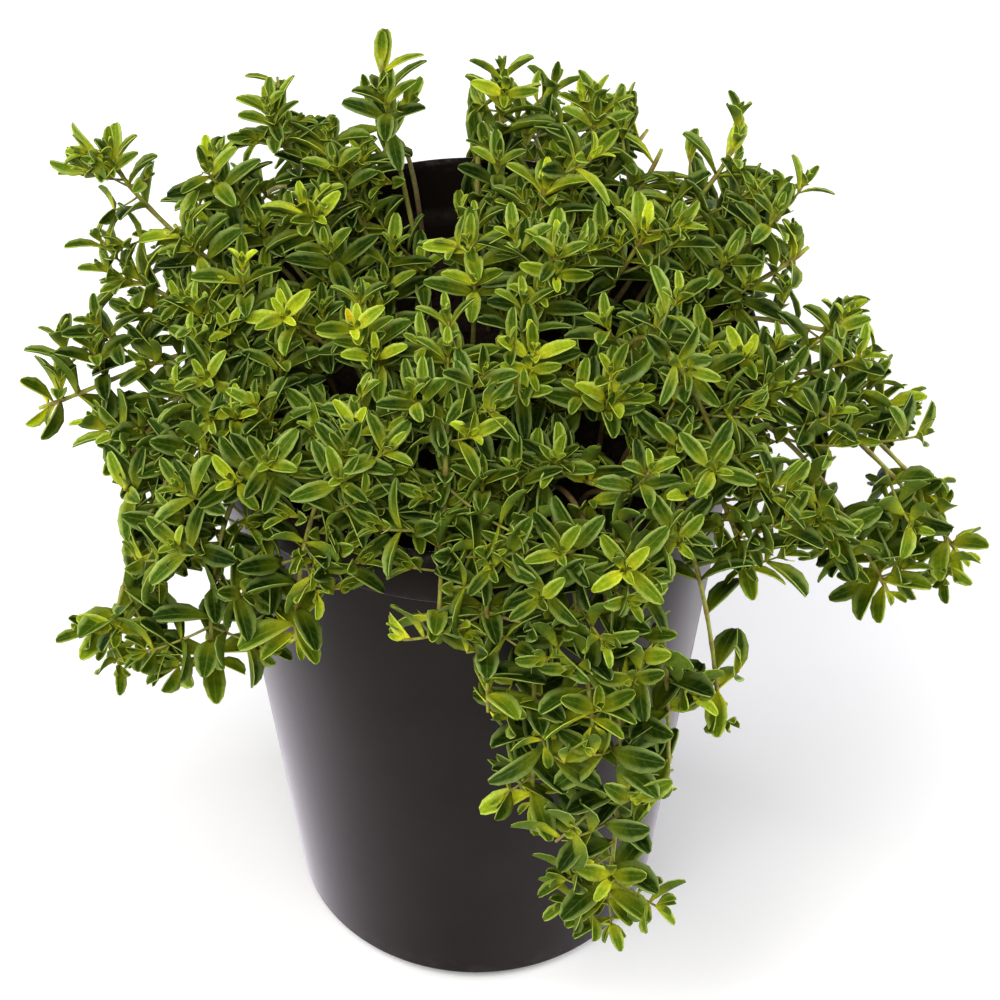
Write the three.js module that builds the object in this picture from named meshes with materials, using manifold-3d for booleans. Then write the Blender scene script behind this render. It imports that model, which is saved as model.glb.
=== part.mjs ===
// Potted thyme: a low bushy thyme that fills a deep round nursery pot and trails over its rim.
// Millimetres, +Z up, origin at the centre of the pot's underside. The side it is seen from is -Y.
import * as THREE from 'three';
import { mergeVertices } from 'three/addons/utils/BufferGeometryUtils.js';
import Module from 'manifold-3d';

const wasm = await Module();
wasm.setup();

// Pot
const potHeight = 160;
const rimRadius = 60;
const rimRound = 1;
const bandHeight = 14;
const bandLowRadius = 58.6;
const wallTopRadius = 56;
const baseRadius = 40;
const footChamfer = 2.5;
const wallThickness = 1.6;
const floorThickness = 2.2;
const potSides = 40;
const drainHoles = 6;
const drainRadius = 3.5;
const drainRing = 26;
const drainSides = 7;

// Soil
const fitGap = 0.3;
const soilDrop = 20;
const soilCrown = 5;
const soilBump = 0.7;
const soilRings = [0.78, 0.42];
const soilSides = 20;
const soilRipples = { across: 5.3, along: 4.7, slanted: 8.9, slantedShare: 0.6 };
const holeOvershoot = 4;

// Stems: square in section, as in all mints
const stemRootHalf = 0.95;
const stemTipHalf = 0.6;
const bareLength = 9;
const rootDepth = 9;
const collarHeight = 1.5;
const rootSpacing = 7;
const rootField = 43;
const ringSpacing = 13;
const hangRingSpacing = 9;

// Routes: how a stem leaves the soil, how it runs into its tip, and where it starts to hang
const rootShare = 0.5;
const spreadRounds = 60;
const firstRise = 22;
const risePerDrop = 0.1;
const leanShare = 0.15;
const tipRun = 16;
const runPerDrop = 1.05;
const steepestPitch = 86;
const levelPitch = 25;
const pitchPerHeight = 1.4;
const hangFrom = -12;
const hangPitch = 5;
const hangPitchShare = 1.15;
const routeGap = 2.8;
const routeSamples = 60;
const mostLifts = 40;

// Leaves: opposite pairs, each pair a quarter turn from the last, closer together towards the tip
const budLength = 1.4;
const pairBands = [[1.3, 0], [1.5, 0], [1.5, 2.6], [1.2, 5.2], [1.2, 7.2]];
const leafLengths = [7.2, 9.6, 10.8, 11.4, 11.2, 10.6];
const leafAngles = [32, 47, 58, 64, 67, 69];
const leafWidthRatio = 0.44;
const bladeThickness = 0.75;
const bladeFold = 0.45;
const bladeDroop = 0.7;
const lightPull = 0.3;
const fewestPairs = 5;
const mostPairs = 9;
const pairEvery = 13;
const leafSpread = { angle: 7, sway: 10, shortest: 0.9, longest: 1.08 };
const bladeOutline = [[0.34, 1], [0.7, 0.82]];
const bladeMiddle = 0.5;

// How a leaf keeps clear of the others: bends tried in turn, then a smaller size, or no leaf
const leafGap = 0.55;
const leafBends = [
  [0, 0], [9, 0], [-9, 0], [0, 16], [0, -16],
  [18, 0], [12, 24], [12, -24], [-16, 12], [-16, -12],
];
const leafSizes = [1, 0.82];
const smallestAngle = 22;
const leafTestSpots = [
  [0.3, 0, 0.1], [0.5, 0.55, 0.095], [0.5, -0.55, 0.095],
  [0.75, 0.35, 0.09], [0.75, -0.35, 0.09], [1, 0, 0.04],
];
const testReach = 11;
const stemTestStep = 1.5;
const stemTestRadius = 1.1;

// Colours
const potColour = '#2d2a29';
const soilColour = '#33241a';
const darkestLeaf = new THREE.Color('#3f6a22');
const palestLeaf = new THREE.Color('#8fae3c');
const potRoughness = 0.4;
const soilRoughness = 0.95;
const leafRoughness = 0.55;
const colourSeed = 500;

// Growing tips seen in the plant: x, y and height above the rim
const shownTips = {
  back_tall: [-19, 34, 50],
  crown_left: [-74, 17, 40],
  upper_left: [-42, 33, 38],
  back_left: [-55, 29, 27],
  back_centre: [6, 44, 32],
  back_right: [26, 42, 30],
  back_far_right: [39, 33, 26],
  right_top: [54, 27, 34],
  right_shoulder: [64, 18, 23],
  right_upper: [69, 13, 17],
  right_reach: [89, -8, -10],
  trail_right_a: [95, -18, -25],
  trail_right_b: [101, -27, -33],
  trail_right_c: [86, -33, -38],
  low_right: [56, -47, -18],
  hang_right: [50, -60, -42],
  left_reach: [-90, -9, -8],
  left_upper: [-70, 5, 17],
  left_mid: [-72, -21, -12],
  trail_left_a: [-76, -40, -46],
  trail_left_b: [-70, -29, -35],
  trail_left_c: [-54, -48, -45],
  front_left: [-36, -59, -24],
  front_low: [-7, -69, -11],
  trail_front_main: [28, -68, -97],
  trail_front_upper: [24, -77, -30],
  trail_front_left: [3, -73, -30],
  trail_front_mid: [12, -70, -62],
  trail_front_right: [40, -66, -62],
  mound_west: [-35, 14, 28],
  mound_west_front: [-38, -14, 24],
  mound_front_west: [-23, -23, 28],
  shoulder_west_front: [-49, -29, 8],
  shoulder_front_west: [-23, -43, 15],
  mound_front: [-3, -29, 27],
  mound_front_east: [12, -30, 29],
  shoulder_front_east: [28, -35, 21],
  mound_east: [35, 2, 32],
  shoulder_east: [55, -18, 14],
  low_front_east: [52, -37, 0],
  low_front: [-11, -54, 5],
  shoulder_west: [-56, -4, 18],
  crown_west: [-61, 8, 28],
  crown_back: [15, 17, 32],
  right_mid: [78, 5, 0],
  crown_centre: [17, -6, 35],
  front_east_mid: [24, -47, 9],
  crown_north_west: [-30, 28, 32],
  crown: [-1, -2, 32],
};

// The far side, where the same spill is set out by rule
const farTips = { count: 9, from: 23, to: 160, radius: 74, height: 4, drop: 22, seed: 5 };
const farSpread = { share: [0.3, 0.7], radius: [-5, 6], height: [-3, 3] };
const farGap = { from: 94, middle: 100, to: 106 };

const degrees = Math.PI / 180;
const up = new THREE.Vector3(0, 0, 1);

// One repeatable stream of numbers from 0 to 1 for each seed
function seededDraws(seed) {
  let state = (seed * 7919 + 104729) % 4294967296;
  return () => {
    state = (1664525 * state + 1013904223) % 4294967296;
    return state / 4294967296;
  };
}

function between(draw, low, high) {
  return low + (high - low) * draw();
}

// Merged and freed of the flat triangles that a lathe leaves on its axis
function cleanGeometry(geometry) {
  const bare = geometry.clone();
  bare.deleteAttribute('normal');
  bare.deleteAttribute('uv');
  const merged = mergeVertices(bare, 1e-4);
  const kept = [];
  const index = merged.index.array;
  for (let i = 0; i < index.length; i += 3) {
    const [a, b, c] = [index[i], index[i + 1], index[i + 2]];
    if (a !== b && b !== c && c !== a) kept.push(a, b, c);
  }
  merged.setIndex(kept);
  return merged;
}

function toSolid(geometry) {
  const clean = cleanGeometry(geometry);
  const vertProperties = new Float32Array(clean.attributes.position.array);
  const triVerts = new Uint32Array(clean.index.array);
  return new wasm.Manifold(new wasm.Mesh({ numProp: 3, vertProperties, triVerts }));
}

function toGeometry(solid) {
  const { vertProperties, triVerts } = solid.getMesh();
  const geometry = new THREE.BufferGeometry();
  geometry.setAttribute('position', new THREE.BufferAttribute(vertProperties, 3));
  geometry.setIndex(new THREE.BufferAttribute(triVerts, 1));
  return geometry;
}

function cutAll(geometry, cutters) {
  let solid = toSolid(geometry);
  for (const cutter of cutters) solid = solid.subtract(toSolid(cutter));
  return toGeometry(solid);
}

// A profile of [radius, height] pairs, turned about the upright axis
function turned(profile, sides) {
  const points = profile.map(([radius, height]) => new THREE.Vector2(radius, height));
  const geometry = new THREE.LatheGeometry(points, sides);
  geometry.rotateX(Math.PI / 2);
  return cleanGeometry(geometry);
}

function outerRadius(height) {
  if (height > potHeight - bandHeight) return rimRadius;
  const share = Math.max(0, height - footChamfer) / (potHeight - bandHeight - footChamfer);
  return baseRadius + (wallTopRadius - baseRadius) * share;
}

function innerRadius(height) {
  return Math.min(outerRadius(height), wallTopRadius) - wallThickness;
}

function soilHeight(x, y) {
  const share = Math.hypot(x, y) / innerRadius(potHeight - soilDrop);
  const { across, along, slanted, slantedShare } = soilRipples;
  const short = Math.sin(x / across + 1) * Math.cos(y / along);
  const ripple = short + slantedShare * Math.sin((x + 2 * y) / slanted);
  const calm = 1 - share ** 4;
  return potHeight - soilDrop + soilCrown * (1 - share * share) + soilBump * ripple * calm;
}

function potGeometry() {
  const bandLow = potHeight - bandHeight;
  const bandInner = rimRadius - 2 * wallThickness;
  const profile = [
    [0, 0],
    [baseRadius - footChamfer, 0],
    [baseRadius, footChamfer],
    [wallTopRadius, bandLow],
    [bandLowRadius, bandLow],
    [rimRadius, potHeight - rimRound],
    [rimRadius - rimRound, potHeight],
    [bandInner + rimRound / 2, potHeight],
    [bandInner, bandLow + wallThickness],
    [wallTopRadius - wallThickness, bandLow - wallThickness],
    [baseRadius - wallThickness, floorThickness],
    [0, floorThickness],
  ];
  const holes = [];
  for (let i = 0; i < drainHoles; i++) {
    const angle = (i + 0.5) * 2 * Math.PI / drainHoles;
    const hole = new THREE.CylinderGeometry(drainRadius, drainRadius, 3 * floorThickness, drainSides);
    hole.rotateX(Math.PI / 2);
    hole.translate(drainRing * Math.cos(angle), drainRing * Math.sin(angle), floorThickness / 2);
    holes.push(hole);
  }
  return cutAll(turned(profile, potSides), holes);
}

function soilGeometry(roots) {
  const edgeHeight = potHeight - soilDrop;
  const edgeRadius = innerRadius(edgeHeight) - fitGap;
  const lowRadius = innerRadius(floorThickness) - 2 * fitGap;
  const profile = [
    [0, floorThickness + fitGap],
    [lowRadius, floorThickness + fitGap],
    [edgeRadius, edgeHeight],
    ...soilRings.map((share) => [share * edgeRadius, edgeHeight]),
    [0, edgeHeight],
  ];
  const heap = turned(profile, soilSides);
  const position = heap.attributes.position;
  for (let i = 0; i < position.count; i++) {
    const [x, y, z] = [position.getX(i), position.getY(i), position.getZ(i)];
    const inside = Math.hypot(x, y) < edgeRadius - fitGap;
    if (z > edgeHeight - fitGap && inside) position.setZ(i, soilHeight(x, y));
  }
  const holeSide = 2 * (stemRootHalf + fitGap);
  const holes = roots.map((root) => {
    const top = soilHeight(root.x, root.y) + holeOvershoot;
    const bottom = root.z - collarHeight - rootDepth;
    const hole = new THREE.BoxGeometry(holeSide, holeSide, top - bottom);
    hole.translate(root.x, root.y, (top + bottom) / 2);
    return hole;
  });
  return cutAll(heap, holes);
}

// True where a ball of the given radius would touch neither pot nor soil nor what the pot stands on
function clearOfPot(point, radius) {
  if (point.z < radius) return false;
  if (point.z > potHeight + radius) return true;
  const reach = Math.hypot(point.x, point.y);
  if (reach > outerRadius(point.z + radius) + radius) return true;
  return reach < innerRadius(point.z) - radius && point.z > soilHeight(point.x, point.y) + radius;
}

// The far side's tips, spread over an arc that leaves the gap where the bare rim shows
function farSideTips() {
  const draw = seededDraws(farTips.seed);
  const tips = {};
  for (let i = 0; i < farTips.count; i++) {
    const share = (i + between(draw, ...farSpread.share)) / farTips.count;
    let angle = farTips.from + (farTips.to - farTips.from) * share;
    const inGap = angle > farGap.from && angle < farGap.to;
    if (inGap) angle = angle < farGap.middle ? farGap.from : farGap.to;
    const radius = farTips.radius + between(draw, ...farSpread.radius);
    const height = farTips.height - (i % 2 ? farTips.drop : 0) + between(draw, ...farSpread.height);
    const x = radius * Math.cos(angle * degrees);
    const y = radius * Math.sin(angle * degrees);
    tips[`far_${i + 1}`] = [x, y, height];
  }
  return tips;
}

// Roots follow the direction of their tips and keep apart from each other in the soil
function spreadRoots(tips) {
  const roots = tips.map(([x, y]) => {
    const reach = Math.hypot(x, y);
    const share = Math.min(rootField, rootShare * reach) / Math.max(reach, 1);
    return new THREE.Vector2(x * share, y * share);
  });
  for (let round = 0; round < spreadRounds; round++) {
    for (let i = 0; i < roots.length; i++) {
      for (let j = i + 1; j < roots.length; j++) {
        const apart = roots[j].clone().sub(roots[i]);
        const distance = apart.length();
        if (distance >= rootSpacing) continue;
        apart.multiplyScalar((rootSpacing - distance) / distance / 2);
        roots[i].sub(apart);
        roots[j].add(apart);
      }
      if (roots[i].length() > rootField) roots[i].setLength(rootField);
    }
  }
  return roots;
}

// How steeply a stem runs into its tip: up in the crown, and down where it hangs beside the pot
function tipPitch(reach, height) {
  if (height > hangFrom) return Math.min(steepestPitch, levelPitch + pitchPerHeight * height);
  return -hangPitch - hangPitchShare * Math.atan2(-height, reach - rimRadius) / degrees;
}

// A stem rises from its root, arches and ends at its tip, and is lifted until it clears the pot
function stemRoute(root, [x, y, height]) {
  const start = new THREE.Vector3(root.x, root.y, soilHeight(root.x, root.y) + collarHeight);
  const end = new THREE.Vector3(x, y, potHeight + height);
  const outward = new THREE.Vector3(x, y, 0).normalize();
  const pitch = tipPitch(Math.hypot(x, y), height) * degrees;
  const drop = Math.max(0, -height);
  const run = tipRun + runPerDrop * drop;
  const rise = start.clone().addScaledVector(up, firstRise + risePerDrop * drop);
  rise.addScaledVector(outward, leanShare * Math.hypot(x - root.x, y - root.y));
  const fall = end.clone().addScaledVector(outward, -Math.cos(pitch) * run);
  fall.addScaledVector(up, -Math.sin(pitch) * run);
  const isClear = (route) => route.getSpacedPoints(routeSamples).every((point) =>
    point.distanceTo(start) < collarHeight + routeGap || clearOfPot(point, routeGap));
  let route = new THREE.CubicBezierCurve3(start, rise, fall, end);
  for (let lifts = 0; lifts < mostLifts && !isClear(route); lifts++) {
    rise.z += 1;
    fall.z += 1;
    route = new THREE.CubicBezierCurve3(start, rise, fall, end);
  }
  return route;
}

// A closed skin of triangles that is drawn point by point
class Skin {
  constructor() {
    this.points = [];
    this.faces = [];
  }

  point(place) {
    this.points.push(place.x, place.y, place.z);
    return this.points.length / 3 - 1;
  }

  face(a, b, c) {
    this.faces.push(a, b, c);
  }

  quad(a, b, c, d) {
    this.face(a, b, c);
    this.face(a, c, d);
  }

  geometry() {
    const geometry = new THREE.BufferGeometry();
    geometry.setAttribute('position', new THREE.Float32BufferAttribute(this.points, 3));
    geometry.setIndex(this.faces);
    return geometry;
  }
}

// The four corners of a stem at one place, carried along without twist
function addRing(skin, place) {
  const corners = [[1, 1], [-1, 1], [-1, -1], [1, -1]];
  return corners.map(([alongSide, alongCross]) => skin.point(place.centre.clone()
    .addScaledVector(place.side, alongSide * place.half)
    .addScaledVector(place.cross, alongCross * place.half)));
}

// Places along a stem, from its foot in the soil to its tip, with a short band for each pair of leaves
function stemPlaces(route, spacing) {
  const length = route.getLength();
  const pairs = Math.min(mostPairs, Math.max(fewestPairs, Math.round(length / pairEvery)));
  const bands = [];
  let fromTip = budLength;
  for (let pair = 0; pair < pairs; pair++) {
    const [band, gap] = pairBands[Math.min(pair, pairBands.length - 1)];
    const at = length - fromTip - band;
    if (at > bareLength) bands.unshift({ at, band, pair });
    fromTip += band + gap;
  }
  const stops = [{ at: 0 }];
  for (const { at, band, pair } of bands) {
    const last = stops[stops.length - 1];
    const steps = Math.ceil((at - last.at) / spacing - 1e-6);
    for (let i = 1; i < steps; i++) stops.push({ at: last.at + (at - last.at) * i / steps });
    if (steps < 1) last.pair = pair;
    else stops.push({ at, pair });
    stops[stops.length - 1].band = band;
    stops.push({ at: at + band });
  }
  const foot = route.getPointAt(0);
  foot.z -= collarHeight + rootDepth - fitGap;
  const firstSide = new THREE.Vector3(1, 0, 0);
  const places = [{ centre: foot, tangent: up.clone(), side: firstSide, half: stemRootHalf }];
  for (const { at, band, pair } of stops) {
    const share = at / length;
    const tangent = at === 0 ? up.clone() : route.getTangentAt(share);
    const side = places[places.length - 1].side.clone();
    side.addScaledVector(tangent, -side.dot(tangent)).normalize();
    const half = stemRootHalf + (stemTipHalf - stemRootHalf) * share;
    places.push({ centre: route.getPointAt(share), tangent, side, half, band, pair });
  }
  for (const place of places) place.cross = place.tangent.clone().cross(place.side);
  places.tip = route.getPointAt(1);
  return places;
}

// Where a leaf points, is wide and faces; on a drooping stem it turns to the light
function leafFrame(place, face, angle, sway) {
  const outwards = [place.cross, place.side.clone().negate(), place.cross.clone().negate(), place.side];
  const swayed = outwards[face].clone().applyAxisAngle(place.tangent, sway * degrees);
  const along = swayed.clone().multiplyScalar(Math.sin(angle * degrees));
  along.addScaledVector(place.tangent, Math.cos(angle * degrees) - lightPull);
  along.addScaledVector(up, lightPull).normalize();
  const wide = swayed.cross(place.tangent);
  wide.addScaledVector(along, -wide.dot(along)).normalize();
  const facing = wide.clone().cross(along);
  const base = place.centre.clone().addScaledVector(outwards[face], place.half);
  base.addScaledVector(place.tangent, place.band / 2);
  return { base, along, wide, facing, fold: facing.z < 0 ? -1 : 1 };
}

function onLeaf(frame, length, share, sideways, lift) {
  return frame.base.clone().addScaledVector(frame.along, share * length)
    .addScaledVector(frame.wide, sideways * length * leafWidthRatio / 2)
    .addScaledVector(frame.facing, frame.fold * lift);
}

// Six small balls that stand for a blade when its distance from other blades is tested
function leafBalls(frame, length) {
  return leafTestSpots.map(([share, sideways, radius]) => {
    const lift = share === 1 ? -bladeDroop : -bladeFold / 2;
    return { centre: onLeaf(frame, length, share, sideways, lift), radius: radius * length };
  });
}

const stemBalls = [];
const leafBallsPlaced = [];

function leafIsClear(balls, sprig, pair) {
  const heart = balls[1].centre;
  const touches = (ball, other) => {
    const reach = ball.radius + other.radius + leafGap;
    return ball.centre.distanceToSquared(other.centre) < reach * reach;
  };
  const ownNeighbour = (other) => other.sprig === sprig && Math.abs(other.pair - pair) < 2;
  if (!balls.every((ball) => clearOfPot(ball.centre, ball.radius + leafGap))) return false;
  const isNear = (other) => heart.distanceToSquared(other.centre) < testReach * testReach;
  const nearStems = stemBalls.filter((other) => other.sprig !== sprig && isNear(other));
  if (nearStems.some((other) => balls.some((ball) => touches(ball, other)))) return false;
  const nearLeaves = leafBallsPlaced.filter((other) => !ownNeighbour(other) && isNear(other));
  return !nearLeaves.some((other) => balls.some((ball) => touches(ball, other)));
}

// The first of a few bent positions in which the leaf touches nothing, or none
function placeLeaf(place, face, sprig, draw) {
  const rank = Math.min(place.pair, leafLengths.length - 1);
  const angle = leafAngles[rank] + between(draw, -leafSpread.angle, leafSpread.angle);
  const sway = between(draw, -leafSpread.sway, leafSpread.sway);
  const length = leafLengths[rank] * between(draw, leafSpread.shortest, leafSpread.longest);
  for (const scale of leafSizes) {
    for (const [bend, turn] of leafBends) {
      if (angle + bend < smallestAngle) continue;
      const frame = leafFrame(place, face, angle + bend, sway + turn);
      const balls = leafBalls(frame, length * scale);
      if (!leafIsClear(balls, sprig, place.pair)) continue;
      for (const ball of balls) leafBallsPlaced.push({ ...ball, sprig, pair: place.pair });
      return { frame, length: length * scale };
    }
  }
  return null;
}

// A blade drawn out of one face of the stem: pointed oval, folded along its midrib, tip drooping
function addBlade(skin, lower, upper, face, { frame, length }) {
  const next = (face + 1) % 4;
  const spot = (share, sideways, lift) => skin.point(onLeaf(frame, length, share, sideways, lift));
  const right = bladeOutline.map(([share, width]) => spot(share, width, 0));
  const left = bladeOutline.map(([share, width]) => spot(share, -width, 0));
  const tip = spot(1, 0, -bladeDroop);
  const trough = spot(bladeMiddle, 0, -bladeFold + bladeThickness / 2);
  const keel = spot(bladeMiddle, 0, -bladeFold - bladeThickness / 2);
  const topLoop = [upper[face], ...right, tip, left[1], left[0], upper[next]];
  const keelLoop = [lower[face], ...right, tip, left[1], left[0], lower[next]];
  const faceUp = frame.fold > 0 ? trough : keel;
  const faceDown = frame.fold > 0 ? keel : trough;
  for (let i = 0; i < topLoop.length; i++) {
    const j = (i + 1) % topLoop.length;
    skin.face(faceUp, topLoop[i], topLoop[j]);
    skin.face(faceDown, keelLoop[j], keelLoop[i]);
  }
  skin.face(lower[face], right[0], upper[face]);
  skin.face(upper[next], left[0], lower[next]);
}

function sprigGeometry(places, sprig) {
  const skin = new Skin();
  const draw = seededDraws(sprig + 1);
  const rings = places.map((place) => addRing(skin, place));
  skin.quad(rings[0][3], rings[0][2], rings[0][1], rings[0][0]);
  for (let i = 0; i + 1 < rings.length; i++) {
    const leaves = [null, null, null, null];
    const { pair } = places[i];
    const faces = pair === undefined ? [] : [pair % 2, pair % 2 + 2];
    for (const face of faces) leaves[face] = placeLeaf(places[i], face, sprig, draw);
    for (let face = 0; face < 4; face++) {
      const next = (face + 1) % 4;
      const leaf = leaves[face];
      if (leaf) addBlade(skin, rings[i], rings[i + 1], face, leaf);
      else skin.quad(rings[i][face], rings[i][next], rings[i + 1][next], rings[i + 1][face]);
    }
  }
  const last = rings[rings.length - 1];
  const bud = skin.point(places.tip);
  for (let face = 0; face < 4; face++) skin.face(last[face], last[(face + 1) % 4], bud);
  return skin.geometry();
}

function namedMesh(name, geometry, color, roughness) {
  const material = new THREE.MeshStandardMaterial({ color, roughness, metalness: 0 });
  const mesh = new THREE.Mesh(geometry, material);
  mesh.name = name;
  return mesh;
}

const tips = { ...shownTips, ...farSideTips() };
const names = Object.keys(tips);
const roots = spreadRoots(Object.values(tips));
const routes = names.map((name, i) => stemRoute(roots[i], tips[name]));
const stems = routes.map((route, i) => {
  const hangs = tips[names[i]][2] <= hangFrom;
  return stemPlaces(route, hangs ? hangRingSpacing : ringSpacing);
});

routes.forEach((route, sprig) => {
  for (const centre of route.getSpacedPoints(Math.ceil(route.getLength() / stemTestStep))) {
    stemBalls.push({ centre, radius: stemTestRadius, sprig });
  }
});

const plant = new THREE.Group();
const stemFeet = routes.map((route) => route.getPointAt(0));
plant.add(namedMesh('pot', potGeometry(), potColour, potRoughness));
plant.add(namedMesh('soil', soilGeometry(stemFeet), soilColour, soilRoughness));
names.forEach((name, sprig) => {
  const green = darkestLeaf.clone().lerp(palestLeaf, seededDraws(sprig + colourSeed)());
  plant.add(namedMesh(`sprig_${name}`, sprigGeometry(stems[sprig], sprig), green, leafRoughness));
});

export default plant;
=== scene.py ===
import bisect
import math

import bmesh
import bpy
from mathutils import Matrix, Quaternion, Vector


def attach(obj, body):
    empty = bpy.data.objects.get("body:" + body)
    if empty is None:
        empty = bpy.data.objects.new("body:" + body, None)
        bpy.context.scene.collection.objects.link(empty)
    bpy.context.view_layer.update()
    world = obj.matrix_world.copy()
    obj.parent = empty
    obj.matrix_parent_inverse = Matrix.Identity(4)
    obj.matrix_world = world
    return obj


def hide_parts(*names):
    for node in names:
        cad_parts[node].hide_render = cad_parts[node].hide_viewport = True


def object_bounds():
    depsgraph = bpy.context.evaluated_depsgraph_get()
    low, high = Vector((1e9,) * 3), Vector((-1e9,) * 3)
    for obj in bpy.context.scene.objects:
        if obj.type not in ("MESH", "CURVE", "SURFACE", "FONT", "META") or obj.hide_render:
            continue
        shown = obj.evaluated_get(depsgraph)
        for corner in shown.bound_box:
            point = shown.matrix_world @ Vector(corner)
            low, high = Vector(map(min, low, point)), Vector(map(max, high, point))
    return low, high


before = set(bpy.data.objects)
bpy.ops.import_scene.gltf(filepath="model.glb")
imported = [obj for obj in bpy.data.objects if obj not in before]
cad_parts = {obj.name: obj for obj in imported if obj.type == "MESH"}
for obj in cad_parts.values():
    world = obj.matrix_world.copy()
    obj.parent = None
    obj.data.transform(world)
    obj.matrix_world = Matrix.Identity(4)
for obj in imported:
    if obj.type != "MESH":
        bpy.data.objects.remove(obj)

# Potted thyme: leafy stems in a deep nursery pot. Settings are in millimetres, meshes in metres.
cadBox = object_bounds()
millimetre = 0.001
up = Vector((0, 0, 1))
drawRange = 2 ** 32

print("stage: settings and helpers")


def seededDraws(seed):  # one repeatable stream of numbers from 0 to 1 for each seed
    state = (seed * 7919 + 104729) % drawRange
    while True:
        state = (1664525 * state + 1013904223) % drawRange
        yield state / drawRange


def between(draw, low, high):
    return low + (high - low) * next(draw)


def meshFrom(name, bm):
    mesh = bpy.data.meshes.new(name)
    bm.to_mesh(mesh)
    bm.free()
    return mesh


def newObject(name, data):
    made = bpy.data.objects.new(name, data)
    bpy.context.scene.collection.objects.link(made)
    return made


def finishPiece(name, bm, materials, replaced):  # a bmesh in metres becomes a piece
    mesh = meshFrom(name, bm)
    piece = newObject(name, mesh)
    for material in materials:
        mesh.materials.append(material)
    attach(piece, "root")
    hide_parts(replaced)
    return piece


# Grain: fine noise on the object's own coordinates, put out as a mask and a bumped normal
def makeGrainGroup():
    group = bpy.data.node_groups.new("grain", "ShaderNodeTree")
    face = group.interface
    usual = dict(Scale=400.0, Detail=4.0, Roughness=0.6, Bump=0.2, Depth=0.0002)
    for name, value in usual.items():
        face.new_socket(name, in_out="INPUT", socket_type="NodeSocketFloat").default_value = value
    face.new_socket("Mask", in_out="OUTPUT", socket_type="NodeSocketFloat")
    face.new_socket("Normal", in_out="OUTPUT", socket_type="NodeSocketVector")
    nodes, links = group.nodes, group.links
    entry = nodes.new("NodeGroupInput")
    leave = nodes.new("NodeGroupOutput")
    place = nodes.new("ShaderNodeTexCoord")
    noise = nodes.new("ShaderNodeTexNoise")
    bump = nodes.new("ShaderNodeBump")
    links.new(place.outputs["Object"], noise.inputs["Vector"])
    for name in ("Scale", "Detail", "Roughness"):
        links.new(entry.outputs[name], noise.inputs[name])
    links.new(entry.outputs["Bump"], bump.inputs["Strength"])
    links.new(entry.outputs["Depth"], bump.inputs["Distance"])
    links.new(noise.outputs["Fac"], bump.inputs["Height"])
    links.new(noise.outputs["Fac"], leave.inputs["Mask"])
    links.new(bump.outputs["Normal"], leave.inputs["Normal"])
    return group


grainGroup = makeGrainGroup()


class Shading:  # a Principled material, and short ways to add the nodes that feed it
    def __init__(self, name, **values):
        self.material = bpy.data.materials.new(name)
        self.material.use_nodes = True
        self.nodes = self.material.node_tree.nodes
        self.links = self.material.node_tree.links
        self.sockets = self.nodes["Principled BSDF"].inputs
        self.setValues(self.sockets, values)

    def feed(self, target, value):  # a socket is linked, a number or a colour is set
        if isinstance(value, bpy.types.NodeSocket):
            self.links.new(value, target)
        else:
            target.default_value = (*value, 1) if isinstance(value, tuple) else value

    def setValues(self, sockets, values):
        for name, value in values.items():
            self.feed(sockets[name.replace("_", " ")], value)

    def node(self, kind, *sources, **values):  # its sockets are fed in their order or by name
        node = self.nodes.new("ShaderNode" + kind)
        for target, value in zip(node.inputs, sources):
            self.feed(target, value)
        self.setValues(node.inputs, values)
        return node

    def grain(self, **values):
        node = self.node("Group")
        node.node_tree = grainGroup
        self.setValues(node.inputs, values)
        return node.outputs

    def maths(self, operation, *values):
        node = self.node("Math", *values)
        node.operation = operation
        return node.outputs["Value"]

    def ramp(self, source, stops):  # a stop is a position with a colour, or with one number for a grey
        node = self.node("ValToRGB", source)
        elements = node.color_ramp.elements
        while len(elements) < len(stops):
            elements.new(0.5)
        for element, (position, colour) in zip(elements, stops):
            element.position = position
            element.color = (*(colour if isinstance(colour, tuple) else [colour] * 3), 1)
        return node.outputs["Color"]

    def mix(self, factor, first, second, blend="MIX"):
        node = self.node("Mix")
        node.data_type = "RGBA"
        node.blend_type = blend
        sockets = {socket.identifier: socket for socket in node.inputs}
        for name, value in (("Factor_Float", factor), ("A_Color", first), ("B_Color", second)):
            self.feed(sockets[name], value)
        return next(socket for socket in node.outputs if socket.identifier == "Result_Color")

    def leafPlace(self):  # across, along and youth, and the tint or kind
        mark = self.node("Attribute")
        mark.attribute_name = "leafPlace"
        return (*self.node("SeparateColor", mark.outputs["Color"]).outputs, mark.outputs["Alpha"])

    def finished(self, colour, **sources):
        self.feed(self.sockets["Base Color"], colour)
        self.setValues(self.sockets, sources)
        return self.material


# Pot
pot = dict(
    height=160, rimRadius=60, rimRound=1, bandHeight=14, bandLowRadius=58.6, wallTopRadius=56,
    baseRadius=40, footChamfer=2.5, wall=1.6, floor=2.2, recessRadius=34, recessEdge=1, recess=0.9,
    sides=160, edgeRound=0.45, edgeSteps=3, roundedFrom=12, sharpFrom=40,  # the last two in degrees
    holes=6, holeRadius=3.5, holeRing=26, drillLength=12, drillSides=24,
    tones=((0.35, (0.0115, 0.0076, 0.006)), (0.75, (0.018, 0.0138, 0.0116))),
    roughness=0.34, smoother=0.05, rougher=0.1,  # what cloudy wear takes off it and adds
    specular=0.01, sheen=1.0, sheenRoughness=0.23, sheenTint=(0.93, 0.88, 1.0),
    wearAndHighlight=(0.06, 0.054, 0.05), patchStops=((0.45, 0), (0.62, 1)),
    wearAndHighlightZones=(  # by height: wear at the foot and the lip, and a painted highlight along the band's lower edge
        (0.0, 0.4), (0.06, 0), (0.905, 0), (0.914, 0.3), (0.925, 0), (0.985, 0), (1.0, 0.75)),
)


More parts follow.
